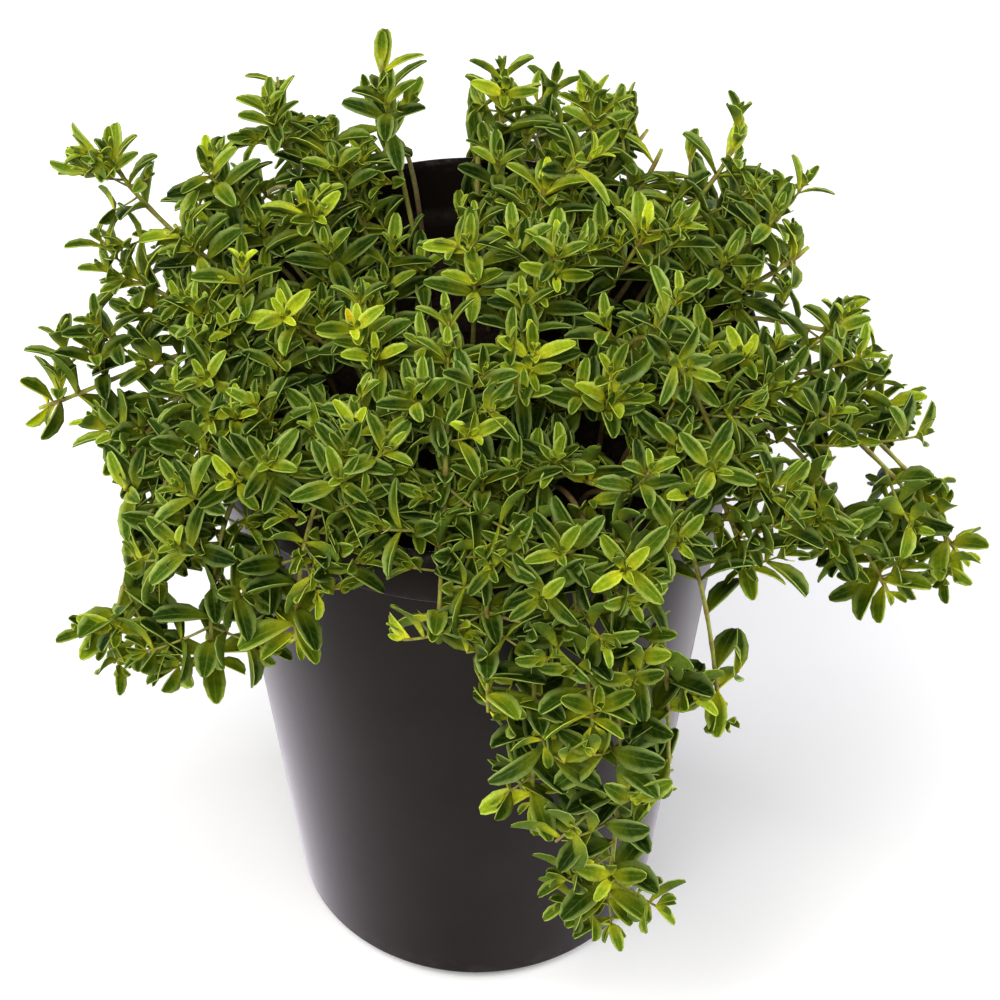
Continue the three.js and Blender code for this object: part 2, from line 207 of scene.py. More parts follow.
def outerRadius(height):
    if height > pot["height"] - pot["bandHeight"]:
        return pot["rimRadius"]
    tall = pot["height"] - pot["bandHeight"] - pot["footChamfer"]
    share = max(0, height - pot["footChamfer"]) / tall
    return pot["baseRadius"] + (pot["wallTopRadius"] - pot["baseRadius"]) * share


def innerRadius(height):
    return min(outerRadius(height), pot["wallTopRadius"]) - pot["wall"]


def spunProfile(profile, steps):  # a chain of (radius, height) turned about the upright axis
    bm = bmesh.new()
    verts = [bm.verts.new((radius * millimetre, 0, height * millimetre)) for radius, height in profile]
    edges = [bm.edges.new(pair) for pair in zip(verts, verts[1:])]
    bmesh.ops.spin(bm, geom=verts + edges, cent=(0, 0, 0), axis=(0, 0, 1), angle=2 * math.pi,
                   steps=steps, use_merge=True)
    bmesh.ops.remove_doubles(bm, verts=bm.verts, dist=1e-6)
    bmesh.ops.recalc_face_normals(bm, faces=bm.faces)
    return bm


def makePotMaterial():
    shading = Shading("pot plastic", Roughness=pot["roughness"], Specular_IOR_Level=pot["specular"],
                      Sheen_Weight=pot["sheen"], Sheen_Roughness=pot["sheenRoughness"],
                      Sheen_Tint=pot["sheenTint"])
    cloud = shading.grain(Scale=35.0, Detail=5.0)["Mask"]
    patchNoise = shading.grain(Scale=260.0, Detail=6.0, Roughness=0.7)["Mask"]
    place = shading.node("TexCoord").outputs["Object"]
    height = shading.node("SeparateXYZ", place).outputs["Z"]
    level = shading.node("MapRange", height, From_Max=pot["height"] * millimetre)
    zones = shading.ramp(level.outputs["Result"], pot["wearAndHighlightZones"])
    # Paler where worn at the foot and the lip; the pale ring at the band's lower edge is a painted
    # highlight
    wearAndHighlight = shading.mix(1.0, zones, shading.ramp(patchNoise, pot["patchStops"]), "MULTIPLY")
    wornAndHighlit = shading.mix(wearAndHighlight, shading.ramp(cloud, pot["tones"]), pot["wearAndHighlight"])
    wear = shading.node("MapRange", cloud, To_Min=pot["roughness"] - pot["smoother"],
                        To_Max=pot["roughness"] + pot["rougher"])
    grain = shading.grain(Scale=900.0, Detail=3.0, Bump=0.12, Depth=0.00008)
    return shading.finished(wornAndHighlit, Roughness=wear.outputs["Result"], Normal=grain["Normal"])


def drillHoles(piece):  # the drain holes in the floor
    cutters = bmesh.new()
    for i in range(pot["holes"]):
        angle = (i + 0.5) * 2 * math.pi / pot["holes"]
        spot = Vector((math.cos(angle), math.sin(angle), 0)) * pot["holeRing"] * millimetre
        radius = pot["holeRadius"] * millimetre
        bmesh.ops.create_cone(cutters, cap_ends=True, segments=pot["drillSides"],
                              radius1=radius, radius2=radius, depth=pot["drillLength"] * millimetre,
                              matrix=Matrix.Translation(spot))
    cutter = newObject("drain cutters", meshFrom("drain cutters", cutters))
    holes = piece.modifiers.new("drain holes", "BOOLEAN")
    holes.operation = "DIFFERENCE"
    holes.solver = "EXACT"
    holes.object = cutter
    bpy.context.view_layer.update()
    cut = bpy.data.meshes.new_from_object(piece.evaluated_get(bpy.context.evaluated_depsgraph_get()))
    piece.modifiers.clear()
    piece.data = cut
    bpy.data.objects.remove(cutter)


def makePot():
    top = pot["height"]
    bandLow = top - pot["bandHeight"]
    bandInner = pot["rimRadius"] - 2 * pot["wall"]
    profile = [
        (0, pot["recess"]),
        (pot["recessRadius"] - pot["recessEdge"], pot["recess"]),
        (pot["recessRadius"], 0),
        (pot["baseRadius"] - pot["footChamfer"], 0),
        (pot["baseRadius"], pot["footChamfer"]),
        (pot["wallTopRadius"], bandLow),
        (pot["bandLowRadius"], bandLow),
        (pot["rimRadius"], top - pot["rimRound"]),
        (pot["rimRadius"] - pot["rimRound"], top),
        (bandInner + pot["rimRound"] / 2, top),
        (bandInner, bandLow + pot["wall"]),
        (pot["wallTopRadius"] - pot["wall"], bandLow - pot["wall"]),
        (pot["baseRadius"] - pot["wall"], pot["floor"]),
        (0, pot["floor"]),
    ]
    bm = spunProfile(profile, pot["sides"])
    turns = [edge for edge in bm.edges if edge.calc_face_angle(0) > math.radians(pot["roundedFrom"])]
    bmesh.ops.bevel(bm, geom=turns, offset=pot["edgeRound"] * millimetre, affect="EDGES",
                    segments=pot["edgeSteps"], profile=0.5, material=-1)
    piece = finishPiece("pot_shell", bm, [makePotMaterial()], "pot")
    drillHoles(piece)
    for face in piece.data.polygons:
        face.use_smooth = True
    piece.data.set_sharp_from_angle(angle=math.radians(pot["sharpFrom"]))


print("stage: pot")
makePot()

# Soil
soil = dict(
    drop=20, crown=5, fitGap=0.3, sides=96, rings=26, topSkin=0.1, seed=31,
    bump=0.7, rippleAcross=5.3, rippleAlong=4.7, rippleSlanted=8.9, slantedShare=0.6,
    clod=0.9, clodRun=4, crumbs=420, crumbSizes=(0.6, 1.9), crumbInset=2, crumbRise=0.3,
    crumbTurns=7, crumbSquash=((0.7, 1.3), (0.6, 1.2), (0.4, 0.8)),
    tones=((0.35, (0.012, 0.0075, 0.005)), (0.62, (0.05, 0.03, 0.018)), (0.8, (0.12, 0.085, 0.055))),
    roughness=0.95, specular=0.2,
)


def soilHeight(x, y):
    share = math.hypot(x, y) / innerRadius(pot["height"] - soil["drop"])
    ripple = math.sin(x / soil["rippleAcross"] + 1) * math.cos(y / soil["rippleAlong"])
    ripple += soil["slantedShare"] * math.sin((x + 2 * y) / soil["rippleSlanted"])
    height = pot["height"] - soil["drop"] + soil["crown"] * (1 - share * share)
    return height + soil["bump"] * ripple * (1 - share ** 4)


def makeSoilMaterial():
    shading = Shading("potting mix", Roughness=soil["roughness"], Specular_IOR_Level=soil["specular"])
    grain = shading.grain(Scale=650.0, Detail=8.0, Roughness=0.75, Bump=0.9, Depth=0.0009)
    return shading.finished(shading.ramp(grain["Mask"], soil["tones"]), Normal=grain["Normal"])


def makeSoil():
    draw = seededDraws(soil["seed"])
    edgeHeight = pot["height"] - soil["drop"]
    edge = innerRadius(edgeHeight) - soil["fitGap"]
    low = innerRadius(pot["floor"]) - 2 * soil["fitGap"]
    bottom = pot["floor"] + soil["fitGap"]
    profile = [(0, bottom), (low, bottom), (edge, edgeHeight)]
    profile += [(edge * (1 - i / soil["rings"]), edgeHeight) for i in range(1, soil["rings"] + 1)]
    bm = spunProfile(profile, soil["sides"])
    for vert in bm.verts:
        x, y, z = vert.co / millimetre
        reach = math.hypot(x, y)
        if z > edgeHeight - soil["topSkin"] and reach < edge - soil["topSkin"]:
            clod = between(draw, -soil["clod"], soil["clod"]) * min(1, (edge - reach) / soil["clodRun"])
            vert.co.z = (soilHeight(x, y) + clod) * millimetre
    for i in range(soil["crumbs"]):
        turn = 2 * math.pi * next(draw)
        reach = (edge - soil["crumbInset"]) * math.sqrt(next(draw))
        size = between(draw, *soil["crumbSizes"])
        x, y = reach * math.cos(turn), reach * math.sin(turn)
        spot = Vector((x, y, soilHeight(x, y) + size * soil["crumbRise"])) * millimetre
        squash = Matrix.Diagonal([between(draw, *spread) for spread in soil["crumbSquash"]] + [1])
        matrix = Matrix.Translation(spot) @ Matrix.Rotation(turn * soil["crumbTurns"], 4, "Z") @ squash
        bmesh.ops.create_icosphere(bm, subdivisions=1, radius=size * millimetre, matrix=matrix)
    for face in bm.faces:
        face.smooth = True
    finishPiece("soil_bed", bm, [makeSoilMaterial()], "soil")


print("stage: soil")
makeSoil()

# Thyme: where the growing tips are, x, y and height above the rim, and how the stems reach them
shownTips = dict(
    back_tall=(-19, 34, 50), crown_left=(-74, 17, 40), upper_left=(-42, 33, 38),
    back_left=(-55, 29, 27), back_centre=(6, 44, 32), back_right=(26, 42, 30),
    back_far_right=(39, 33, 26), right_top=(54, 27, 34), right_shoulder=(64, 18, 23),
    right_upper=(69, 13, 17), right_reach=(89, -8, -10), trail_right_a=(95, -18, -25),
    trail_right_b=(101, -27, -33), trail_right_c=(86, -33, -38), low_right=(56, -47, -18),
    hang_right=(50, -60, -42), left_reach=(-90, -9, -8), left_upper=(-70, 5, 17),
    left_mid=(-72, -21, -12), trail_left_a=(-76, -40, -46), trail_left_b=(-70, -29, -35),
    trail_left_c=(-54, -48, -45), front_left=(-36, -59, -24), front_low=(-7, -69, -11),
    trail_front_main=(28, -68, -97), trail_front_upper=(24, -77, -30),
    trail_front_left=(3, -73, -30), trail_front_mid=(12, -70, -62),
    trail_front_right=(40, -66, -62), mound_west=(-35, 14, 28), mound_west_front=(-38, -14, 24),
    mound_front_west=(-23, -23, 28), shoulder_west_front=(-49, -29, 8),
    shoulder_front_west=(-23, -43, 15), mound_front=(-3, -29, 27), mound_front_east=(12, -30, 29),
    shoulder_front_east=(28, -35, 21), mound_east=(35, 2, 32), shoulder_east=(55, -18, 14),
    low_front_east=(52, -37, 0), low_front=(-11, -54, 5), shoulder_west=(-56, -4, 18),
    crown_west=(-61, 8, 28), crown_back=(15, 17, 32), right_mid=(78, 5, 0),
    crown_centre=(17, -6, 35), front_east_mid=(24, -47, 9), crown_north_west=(-30, 28, 32),
    crown=(-1, -2, 32),
)
farTips = dict(
    count=9, first=23, last=160, radius=74, height=4, drop=22, seed=5,
    shareSpread=(0.3, 0.7), radiusSpread=(-5, 6), heightSpread=(-3, 3),
    gapFrom=94, gapMiddle=100, gapTo=106,
)
stem = dict(
    rootHalf=0.95, tipHalf=0.6, slim=0.7, jointSwell=0.2, sides=6, ringStep=3.2, youthFrom=0.1,
    # Roots in the soil
    rootDepth=7, collar=1.5, rootSpacing=7, rootField=43, rootShare=0.5, spreadRounds=60,
    # How it rises and leans, and how it runs into its tip
    firstRise=22, risePerDrop=0.1, leanShare=0.15, tipRun=16, runPerDrop=1.05, bareLength=9,
    steepestPitch=86, levelPitch=25, pitchPerHeight=1.4, hangFrom=-12, hangPitch=5,
    hangPitchShare=1.15,
    # The room that it needs and takes
    routeGap=2.8, routeTests=60, mostLifts=40, ball=0.5, ballStep=1.5,
)
leaf = dict(
    # Pairs on a main stem, counted from its tip
    budLength=1.4, pairBands=((1.3, 0), (1.5, 0), (1.5, 2.6), (1.2, 5.2), (1.2, 7.2)),
    fewestPairs=5, mostPairs=9, pairEvery=13,
    lengths=(7.2, 9.6, 10.8, 11.4, 11.2, 10.6), shortest=0.9, longest=1.08,
    angles=(32, 47, 58, 64, 67, 69), leastAngle=12, angleSpread=7, swaySpread=10,
    lightPull=0.3, footShare=0.6,
    # Its form, in shares of the length
    thickness=0.03, ratio=0.345, columns=4,
    rows=((0, 0.15), (0.14, 0.46), (0.38, 0.92), (0.66, 1.0), (0.9, 0.7), (1, 0.3)),
    foldPower=1.3, twistFrom=0.3, formMix=(7.3, 3.1),
    # Low leaves are broader and longer and old ones darker; leaves deep under others get painted shade
    broadFrom=10, broadRun=40, broader=0.25, longer=0.12, youth=(1.0, 0.82, 0.52, 0.24, 0.08),
    tintMix=(12.9, 78.2), deepAt=0.6, deepBalls=45, deepShade=0.75,
    # The room that it needs and takes
    ball=0.42, boxMargin=1.3, potMargin=0.6,
)


def farSideTips():
    draw = seededDraws(farTips["seed"])
    tips = {}
    for i in range(farTips["count"]):
        share = (i + between(draw, *farTips["shareSpread"])) / farTips["count"]
        angle = farTips["first"] + (farTips["last"] - farTips["first"]) * share
        if farTips["gapFrom"] < angle < farTips["gapTo"]:
            angle = farTips["gapFrom"] if angle < farTips["gapMiddle"] else farTips["gapTo"]
        radius = farTips["radius"] + between(draw, *farTips["radiusSpread"])
        drop = farTips["drop"] if i % 2 else 0
        height = farTips["height"] - drop + between(draw, *farTips["heightSpread"])
        turn = math.radians(angle)
        tips[f"far_{i + 1}"] = (radius * math.cos(turn), radius * math.sin(turn), height)
    return tips


def spreadRoots(tips):  # roots follow their tips and keep apart in the soil
    roots = []
    for x, y, height in tips:
        reach = math.hypot(x, y)
        roots.append(Vector((x, y)) * min(stem["rootField"], stem["rootShare"] * reach) / max(reach, 1))
    for spreadRound in range(stem["spreadRounds"]):
        for i, first in enumerate(roots):
            for second in roots[i + 1:]:
                apart = second - first
                distance = apart.length
                if distance >= stem["rootSpacing"]:
                    continue
                apart *= (stem["rootSpacing"] - distance) / distance / 2
                first -= apart
                second += apart
            if first.length > stem["rootField"]:
                first *= stem["rootField"] / first.length
    return roots


def clearOfPot(point, radius):
    if point.z < radius:
        return False
    if point.z > pot["height"] + radius:
        return True
    reach = math.hypot(point.x, point.y)
    if reach > outerRadius(point.z + radius) + radius:
        return True
    return reach < innerRadius(point.z) - radius and point.z > soilHeight(point.x, point.y) + radius


class Route:  # a cubic curve that is read by the share of its length
    steps = 200

    def __init__(self, *corners):
        self.corners = corners
        self.lengths = [0.0]
        last = self.point(0)
        for i in range(1, self.steps + 1):
            now = self.point(i / self.steps)
            self.lengths.append(self.lengths[-1] + (now - last).length)
            last = now
        self.length = self.lengths[-1]

    def point(self, t):
        a, b, c, d = self.corners
        s = 1 - t
        return a * s ** 3 + b * (3 * s * s * t) + c * (3 * s * t * t) + d * t ** 3

    def atShare(self, share):
        wanted = share * self.length
        low = min(bisect.bisect_right(self.lengths, wanted), self.steps) - 1
        span = self.lengths[low + 1] - self.lengths[low]
        return (low + (wanted - self.lengths[low]) / span) / self.steps

    def pointAt(self, share):
        return self.point(self.atShare(share))

    def tangentAt(self, share):
        a, b, c, d = self.corners
        t = self.atShare(share)
        s = 1 - t
        return ((b - a) * (s * s) + (c - b) * (2 * s * t) + (d - c) * (t * t)).normalized()


def tipPitch(reach, height):
    if height > stem["hangFrom"]:
        return min(stem["steepestPitch"], stem["levelPitch"] + stem["pitchPerHeight"] * height)
    below = math.degrees(math.atan2(-height, reach - pot["rimRadius"]))
    return -stem["hangPitch"] - stem["hangPitchShare"] * below


def isClearRoute(route):
    start = route.corners[0]
    near = stem["collar"] + stem["routeGap"]
    points = [route.pointAt(i / stem["routeTests"]) for i in range(stem["routeTests"] + 1)]
    return all((point - start).length < near or clearOfPot(point, stem["routeGap"]) for point in points)


def stemRoute(root, tip):
    x, y, height = tip
    start = Vector((root.x, root.y, soilHeight(root.x, root.y) + stem["collar"]))
    end = Vector((x, y, pot["height"] + height))
    outward = Vector((x, y, 0)).normalized()
    pitch = math.radians(tipPitch(math.hypot(x, y), height))
    drop = max(0, -height)
    run = stem["tipRun"] + stem["runPerDrop"] * drop
    rise = start + up * (stem["firstRise"] + stem["risePerDrop"] * drop)
    rise += outward * stem["leanShare"] * math.hypot(x - root.x, y - root.y)
    fall = end - outward * math.cos(pitch) * run - up * math.sin(pitch) * run
    route = Route(start, rise, fall, end)
    lifts = 0
    while lifts < stem["mostLifts"] and not isClearRoute(route):
        rise = rise + up
        fall = fall + up
        route = Route(start, rise, fall, end)
        lifts += 1
    return route


class Place:  # a point on a stem, with the way it runs and its two cross directions
    def __init__(self, centre, tangent, side, half, share):
        self.centre = centre
        self.tangent = tangent
        self.side = (side - tangent * side.dot(tangent)).normalized()
        self.cross = tangent.cross(self.side)
        self.half = half
        self.share = share
        self.pair = None
        self.band = 0

    def turns(self):  # the four ways that leaves and shoots can point
        return self.cross, -self.side, -self.cross, self.side

    def pairFaces(self):  # each pair of leaves stands a quarter turn from the last
        return self.pair % 2, self.pair % 2 + 2


def mainPlaces(route):
    length = route.length
    pairs = min(leaf["mostPairs"], max(leaf["fewestPairs"], int(length / leaf["pairEvery"] + 0.5)))
    bands = []
    fromTip = leaf["budLength"]
    for pair in range(pairs):
        band, gap = leaf["pairBands"][min(pair, len(leaf["pairBands"]) - 1)]
        at = length - fromTip - band
        if at > stem["bareLength"]:
            bands.append((at, band, pair))
        fromTip += band + gap
    stops = [(0, 0, None)]
    for at, band, pair in reversed(bands):
        last = stops[-1][0]
        steps = math.ceil((at - last) / stem["ringStep"] - 1e-6)
        stops += [(last + (at - last) * i / steps, 0, None) for i in range(1, steps)]
        stops.append((at, band, pair))
    stops.append((length, 0, None))
    foot = route.pointAt(0) - up * (stem["collar"] + stem["rootDepth"])
    places = [Place(foot, up, Vector((1, 0, 0)), stem["rootHalf"], 0)]
    for at, band, pair in stops:
        share = at / length
        tangent = up if at == 0 else route.tangentAt(share)
        half = stem["rootHalf"] + (stem["tipHalf"] - stem["rootHalf"]) * share
        place = Place(route.pointAt(share), tangent, places[-1].side, half, share)
        place.pair = pair
        place.band = band
        places.append(place)
    return places


# A side shoot steps away from its start and turns towards the light as it grows
def shootPlaces(start, direction, side, length, half, lightTurn, pairs):
    steps = max(2, math.ceil(length / shoot["step"]))
    step = length / steps
    heading = direction.normalized()
    centre = start.copy()
    places = [Place(centre, heading, side, half, 0)]
    for i in range(steps):
        heading = (heading + up * lightTurn * step).normalized()
        centre = centre + heading * step
        half = half * (1 - shoot["taper"] / steps)
        places.append(Place(centre, heading, places[-1].side, half, (i + 1) / steps))
    fromTip = shoot["firstPair"]
    for pair in range(pairs):
        at = 1 - fromTip / length
        if at < shoot["bareShare"]:
            break
        nearest = min(places[1:], key=lambda place: abs(place.share - at))
        if nearest.pair is None:
            nearest.pair = pair
        fromTip += shoot["spacing"][min(pair, len(shoot["spacing"]) - 1)]
    return places


class LeafRoom:  # small balls along every blade and main stem, so that the next blade finds free air
    cell = 3.0
    cellsAbove = 8

    def __init__(self):
        self.cells = {}

    def cellOf(self, point):
        return tuple(math.floor(c / self.cell) for c in point)

    def add(self, centre, radius, owner, pair):
        self.cells.setdefault(self.cellOf(centre), []).append((centre, radius, owner, pair))

    def ballsNear(self, point, low, high):  # what is in the cells around, from one level to another
        cx, cy, cz = self.cellOf(point)
        for x in (cx - 1, cx, cx + 1):
            for y in (cy - 1, cy, cy + 1):
                for z in range(cz + low, cz + high + 1):
                    yield from self.cells.get((x, y, z), ())

    def isFree(self, centre, radius, owner, pair):  # neighbouring pairs of one shoot may come closer
        for other, otherRadius, otherOwner, otherPair in self.ballsNear(centre, -1, 1):
            if otherOwner == owner and abs(otherPair - pair) < 2:
                continue
            if (centre - other).length < radius + otherRadius:
                return False
        return True

    def ballsAbove(self, point):  # how much leaf hangs over a point
        return sum(1 for ball in self.ballsNear(point, 1, self.cellsAbove))


room = LeafRoom()
boxLow = Vector(cadBox[0]) / millimetre
boxHigh = Vector(cadBox[1]) / millimetre
leafSpots = ((0.32, 0), (0.5, 0.6), (0.5, -0.6), (0.75, 0.35), (0.75, -0.35), (1, 0))
leafBends = (  # what a leaf tries in turn: a change of its angle and of its sway
    (0, 0), (9, 0), (-9, 0), (0, 16), (0, -16), (18, 0), (12, 24), (12, -24), (-16, 12), (-16, -12))
budForm = 3  # the last of the blade templates, and how many the leaves choose from


def inBox(point, margin):
    return all(boxLow[i] + margin <= point[i] <= boxHigh[i] - margin for i in range(3))


class Blade:  # one leaf: where it starts, where it points, and how young it is
    def __init__(self, place, face, angle, sway, length):
        outward = place.turns()[face]
        swayed = Quaternion(place.tangent, math.radians(sway)) @ outward
        turn = math.radians(angle)
        along = swayed * math.sin(turn) + place.tangent * (math.cos(turn) - leaf["lightPull"])
        self.along = (along + up * leaf["lightPull"]).normalized()
        wide = swayed.cross(place.tangent)
        self.wide = (wide - self.along * wide.dot(self.along)).normalized()
        self.facing = self.wide.cross(self.along)
        if self.facing.z < 0:
            self.wide = -self.wide
            self.facing = -self.facing
        self.base = place.centre + outward * place.half * leaf["footShare"] + place.tangent * place.band / 2
        depth = min(1, max(0, (pot["height"] + leaf["broadFrom"] - self.base.z) / leaf["broadRun"]))
        self.length = length * (1 + leaf["longer"] * depth)
        self.breadth = 1 + leaf["broader"] * depth
        byX, byZ = leaf["formMix"]
        self.form = int(abs(self.base.x * byX + self.base.z * byZ)) % budForm
        byX, byY = leaf["tintMix"]
        self.tint = (math.sin(self.base.x * byX + self.base.y * byY) + 1) / 2

    def spot(self, share, sideways):
        half = self.length * leaf["ratio"] * self.breadth / 2
        return self.base + self.along * share * self.length + self.wide * sideways * half

    def isClear(self, owner, pair):
        for share, sideways in leafSpots:
            point = self.spot(share, sideways)
            if not inBox(point, leaf["boxMargin"]) or not clearOfPot(point, leaf["potMargin"]):
                return False
            if not room.isFree(point, leaf["ball"], owner, pair) or inOpening(point):
                return False
        return True

    def settle(self, owner, pair):
        for share, sideways in leafSpots:
            room.add(self.spot(share, sideways), leaf["ball"], owner, pair)


def placeBlade(place, face, angle, sway, length, owner):  # it bends a little where there is no room
    for bend, turn in leafBends:
        if angle + bend < leaf["leastAngle"]:
            continue
        blade = Blade(place, face, angle + bend, sway + turn, length)
        if blade.isClear(owner, place.pair):
            blade.settle(owner, place.pair)
            return blade
    return None


def bladeTemplate(name, fold, recurve, twist, cup):
    bm = bmesh.new()
    mark = bm.verts.layers.float_color.new("leafPlace")
    rows = leaf["rows"]
    bmesh.ops.create_grid(bm, x_segments=leaf["columns"], y_segments=len(rows) - 1, size=0.5)
    for vert in bm.verts:
        across = vert.co.x * 2
        along, width = rows[round((vert.co.y + 0.5) * (len(rows) - 1))]
        rise = fold * abs(across) ** leaf["foldPower"] * width - recurve * along ** 2
        rise += cup * math.sin(math.pi * along)
        rise += twist * across * width * (along - leaf["twistFrom"])
        vert.co = (across * width * leaf["ratio"] / 2, along, rise * leaf["ratio"])
        vert[mark] = (abs(across), along, 0, 0)
    top = set(bm.verts)
    bmesh.ops.solidify(bm, geom=list(bm.faces), thickness=leaf["thickness"])
    under = [vert for vert in bm.verts if vert not in top]
    if sum(vert.co.z for vert in under) > sum(vert.co.z for vert in top):
        under = top
    for vert in under:  # the last number tells the underside from the top
        vert[mark] = (*vert[mark][:3], leafLook["undersideMark"])
    bmesh.ops.recalc_face_normals(bm, faces=bm.faces)
    return meshFrom(name, bm)


def addBladeMesh(bm, mark, blade):
    first = len(bm.verts)
    bm.from_mesh(templates[blade.form])
    bm.verts.ensure_lookup_table()
    turn = Matrix((blade.wide * blade.breadth, blade.along, blade.facing)).transposed() * blade.length
    matrix = Matrix.Translation(blade.base) @ turn.to_4x4()
    for vert in bm.verts[first:]:
        across, along, youth, tint = vert[mark]
        vert[mark] = (across, along, blade.youth, tint + blade.tint)
        vert.co = matrix @ vert.co


# A stem is a ring of points that is extruded from place to place
def addStemMesh(bm, mark, places, youthFrom):
    circle = bmesh.ops.create_circle(bm, cap_ends=True, cap_tris=False, segments=stem["sides"], radius=1)
    cap = circle["verts"][0].link_faces[0]
    ring = {vert: vert.co.copy() for vert in circle["verts"]}
    for i, place in enumerate(places):
        if i:
            grown = bmesh.ops.extrude_face_region(bm, geom=[cap])["geom"]
            if i > 1:
                bmesh.ops.delete(bm, geom=[cap], context="FACES_ONLY")
            cap = next(g for g in grown if isinstance(g, bmesh.types.BMFace))
            fresh = {}
            for vert in cap.verts:
                source = next(e.other_vert(vert) for e in vert.link_edges if e.other_vert(vert) in ring)
                fresh[vert] = ring[source]
            ring = fresh
        youth = youthFrom + (1 - youthFrom) * place.share
        joint = 0 if place.pair is None else 1
        reach = place.half * stem["slim"] * (1 + stem["jointSwell"] * joint)
        for vert, corner in ring.items():
            vert.co = place.centre + (place.side * corner.x + place.cross * corner.y) * reach
            vert[mark] = (0, place.share, youth, joint)
    bmesh.ops.recalc_face_normals(bm, faces=bm.faces)
    for face in bm.faces:
        face.material_index = 1


leafLook = dict(
    roughness=0.48, specular=0.06, refraction=1.35,
    grown=(  # by youth
        (0.0, (0.026, 0.064, 0.003)), (0.3, (0.058, 0.121, 0.0045)),
        (0.65, (0.16, 0.26, 0.008)), (1.0, (0.36, 0.48, 0.012))),
    shade=(  # by tint, which varies at random and is lowered by painted shade under leaves above, with a few ruddy leaves
        (0.0, (0.32, 0.4, 0.4)), (0.5, (0.74, 0.76, 0.75)),
        (0.985, (1.2, 1.06, 0.9)), (0.999, (1.7, 0.9, 0.9))),
    # The whole leaf is darkened by its tint: a random tone, and painted shade under leaves above
    toneAndDeepShade=((0.0, (0.47, 0.52, 0.43)), (0.3, (0.94, 0.96, 0.92)), (0.6, (1.2, 1.2, 1.2))),
    veinLean=-0.3, veinWaves=34.0, veins=((0.55, 0), (1.0, 0.08)), vein=(0.3, 0.4, 0.06),
    edge=((0.0, 0.25), (0.09, 0), (0.5, 0.02), (0.72, 0.5), (1.0, 0.85)),
    pale=((0.29, 0.39, 0.12), (0.64, 0.74, 0.1)), undersideMark=2, undersideFrom=1.4,
    underside=(0.085, 0.135, 0.014), foot=((0.0, 0.95), (0.3, 0.48), (0.62, 0)),
    bright=((0.12, 0.19, 0.01), (0.82, 0.8, 0.03)), speck=((0.3, 0.78), (0.7, 1.15)),
)
stemLook = dict(
    roughness=0.6,
    grown=(
        (0.0, (0.1, 0.06, 0.035)), (0.3, (0.19, 0.13, 0.05)),
        (0.5, (0.25, 0.26, 0.05)), (1.0, (0.38, 0.46, 0.05))),
    joints=((0.3, 0), (1.0, 0.55)), ruddy=(0.2, 0.075, 0.035),
    speck=((0.3, (0.7, 0.62, 0.6)), (0.7, (1.2, 1.1, 1.05))),
)
templates = [
    bladeTemplate("blade a", fold=0.3, recurve=0.28, twist=0.1, cup=0.08),
    bladeTemplate("blade b", fold=0.5, recurve=0.14, twist=-0.2, cup=0.05),
    bladeTemplate("blade c", fold=0.2, recurve=0.46, twist=0.25, cup=0.12),
    bladeTemplate("blade d", fold=0.65, recurve=-0.15, twist=0.0, cup=-0.08),
]


def makeLeafMaterial():
    look = leafLook
    shading = Shading("thyme leaf", Roughness=look["roughness"], Specular_IOR_Level=look["specular"],
                      IOR=look["refraction"])
    across, along, youth, tint = shading.leafPlace()
    shade = shading.ramp(tint, look["shade"])
    tinted = shading.mix(1.0, shading.ramp(youth, look["grown"]), shade, "MULTIPLY")
    lean = shading.maths("MULTIPLY_ADD", across, look["veinLean"], along)  # side veins run forward
    vein = shading.maths("SINE", shading.maths("MULTIPLY", lean, look["veinWaves"]))
    veined = shading.mix(shading.ramp(vein, look["veins"]), tinted, look["vein"])
    pale = shading.mix(youth, *look["pale"])
    edged = shading.mix(shading.ramp(across, look["edge"]), veined, pale)
    below = shading.maths("GREATER_THAN", tint, look["undersideFrom"])
    turned = shading.mix(below, edged, look["underside"])
    bright = shading.mix(youth, *look["bright"])
    footed = shading.mix(shading.ramp(along, look["foot"]), turned, bright)
    grain = shading.grain(Scale=1500.0, Detail=3.0, Bump=0.25, Depth=0.0002)
    specked = shading.mix(1.0, footed, shading.ramp(grain["Mask"], look["speck"]), "MULTIPLY")
    # Painted shade: a low tint, which leaves under other leaves get, darkens the margins and feet too
    toneAndDeepShade = shading.mix(1.0, specked, shading.ramp(tint, look["toneAndDeepShade"]), "MULTIPLY")
    return shading.finished(toneAndDeepShade, Normal=grain["Normal"])


def makeStemMaterial():
    shading = Shading("thyme stem", Roughness=stemLook["roughness"])
    youth, joint = shading.leafPlace()[2:]
    joints = shading.ramp(joint, stemLook["joints"])
    joined = shading.mix(joints, shading.ramp(youth, stemLook["grown"]), stemLook["ruddy"])
    grain = shading.grain(Scale=900.0, Detail=4.0, Bump=0.4, Depth=0.0003)
    specked = shading.mix(1.0, joined, shading.ramp(grain["Mask"], stemLook["speck"]), "MULTIPLY")
    return shading.finished(specked, Normal=grain["Normal"])


